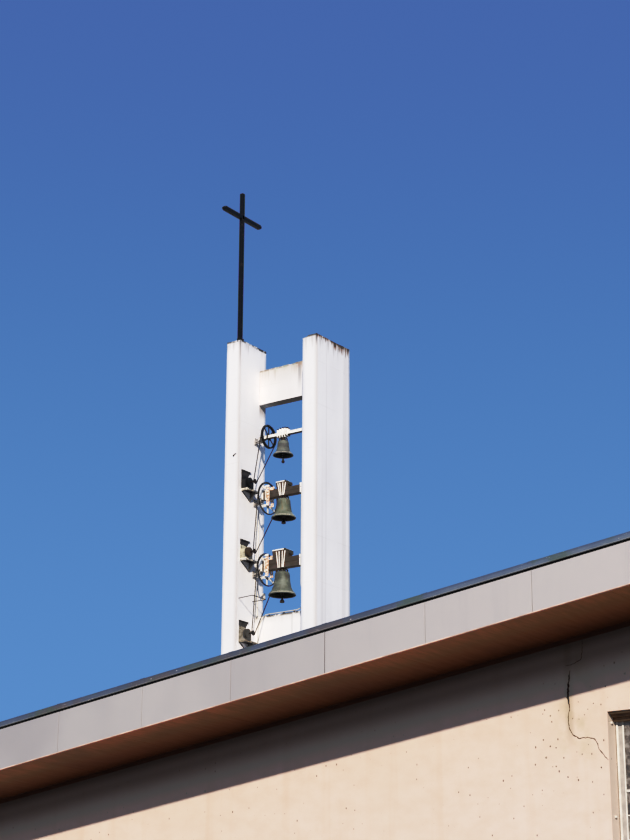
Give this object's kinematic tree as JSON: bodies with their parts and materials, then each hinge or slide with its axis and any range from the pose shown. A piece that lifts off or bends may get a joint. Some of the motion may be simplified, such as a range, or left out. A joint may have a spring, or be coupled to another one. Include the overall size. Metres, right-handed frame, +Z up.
{
  "type": "modern church building with bell tower",
  "caption": "Rendered church nave under a shallow sloping roof with a wide fascia, beside a slab bell tower with swinging bells and a cross.",
  "frame": {"origin": "ground level under the middle of the nave, on the underside of its floor slab", "axes": "+X along the nave towards its high end, +Y towards the tower behind it, +Z up"},
  "size_m": [24.7, 17.3883, 25.9203],
  "materials": {
    "render": "matt rendered plaster",
    "floor_concrete": "plain concrete",
    "fascia_panel": "satin coated panel",
    "soffit_wood": "stained boards",
    "capping_metal": "satin",
    "roof_sheet": "matt",
    "window_frame": "satin white, dark brown head box",
    "window_glass": "frosted",
    "door_wood": "stained",
    "white_concrete": "white painted concrete",
    "cross_steel": "matt black",
    "bracket_steel": "dark paint",
    "white_steel": "satin white",
    "motor_paint": "satin",
    "chain_steel": "oiled",
    "yoke_timber": "weathered",
    "bronze": "weathered bronze",
    "clapper_iron": "dark"
  },
  "bodies": {
    "church": {"front_wall": "render", "rear_wall": "render", "low_end_wall": "render", "high_end_wall": "render", "nave_floor": "floor_concrete", "roof_slab": "floor_concrete", "fascia": "fascia_panel", "soffit_lining": "soffit_wood", "roof_capping": "capping_metal", "roof_covering": "roof_sheet", "front_low_window_frame": "window_frame", "front_high_window_frame": "window_frame", "rear_low_window_frame": "window_frame", "rear_high_window_frame": "window_frame", "end_window_frame": "window_frame", "front_low_window_glass": "window_glass", "front_high_window_glass": "window_glass", "rear_low_window_glass": "window_glass", "rear_high_window_glass": "window_glass", "end_window_glass": "window_glass", "door_frame": "door_wood", "door_leaf_front": "door_wood", "door_leaf_rear": "door_wood", "left_pylon": "white_concrete", "right_pylon": "white_concrete", "top_beam": "white_concrete", "lower_wall": "white_concrete", "cross": "cross_steel", "motor_bracket_bottom": "bracket_steel", "motor_bracket_middle": "bracket_steel", "motor_bracket_top": "bracket_steel", "bearing_left_bottom": "white_steel", "bearing_right_bottom": "white_steel", "bearing_left_middle": "white_steel", "bearing_right_middle": "white_steel", "bearing_left_top": "white_steel", "bearing_right_top": "white_steel", "motor_bottom": "motor_paint", "motor_middle": "motor_paint", "motor_top": "motor_paint", "chain_loop_bottom": "chain_steel", "chain_loop_middle": "chain_steel", "chain_loop_top": "chain_steel"},
    "bell_bottom": {"yoke_bottom": "yoke_timber", "wheel_bottom": "white_steel", "bell_bottom": "bronze"},
    "clapper_bottom": {"clapper_bottom": "clapper_iron"},
    "bell_middle": {"yoke_middle": "yoke_timber", "wheel_middle": "white_steel", "bell_middle": "bronze"},
    "clapper_middle": {"clapper_middle": "clapper_iron"},
    "bell_top": {"yoke_top": "white_steel", "wheel_top": "white_steel", "bell_top": "bronze"},
    "clapper_top": {"clapper_top": "clapper_iron"}
  },
  "joints": [
    {"name": "bell_swing_bottom", "type": "hinge", "parent": "church", "child": "bell_bottom", "pos_m": [-10.065, 8.68, 14.5], "axis": [1, 0, 0], "range_deg": [-65, 65]},
    {"name": "bell_swing_middle", "type": "hinge", "parent": "church", "child": "bell_middle", "pos_m": [-10.04, 8.68, 16.56], "axis": [1, 0, 0], "range_deg": [-65, 65]},
    {"name": "bell_swing_top", "type": "hinge", "parent": "church", "child": "bell_top", "pos_m": [-10.078, 8.68, 18.38], "axis": [1, 0, 0], "range_deg": [-65, 65]},
    {"name": "clapper_swing_bottom", "type": "hinge", "parent": "bell_bottom", "child": "clapper_bottom", "pos_m": [-10.065, 8.68, 14.26905], "axis": [1, 0, 0], "range_deg": [-24, 24]},
    {"name": "clapper_swing_middle", "type": "hinge", "parent": "bell_middle", "child": "clapper_middle", "pos_m": [-10.04, 8.68, 16.35929], "axis": [1, 0, 0], "range_deg": [-26, 26]},
    {"name": "clapper_swing_top", "type": "hinge", "parent": "bell_top", "child": "clapper_top", "pos_m": [-10.078, 8.68, 18.07341], "axis": [1, 0, 0], "range_deg": [-29, 29]}
  ]
}
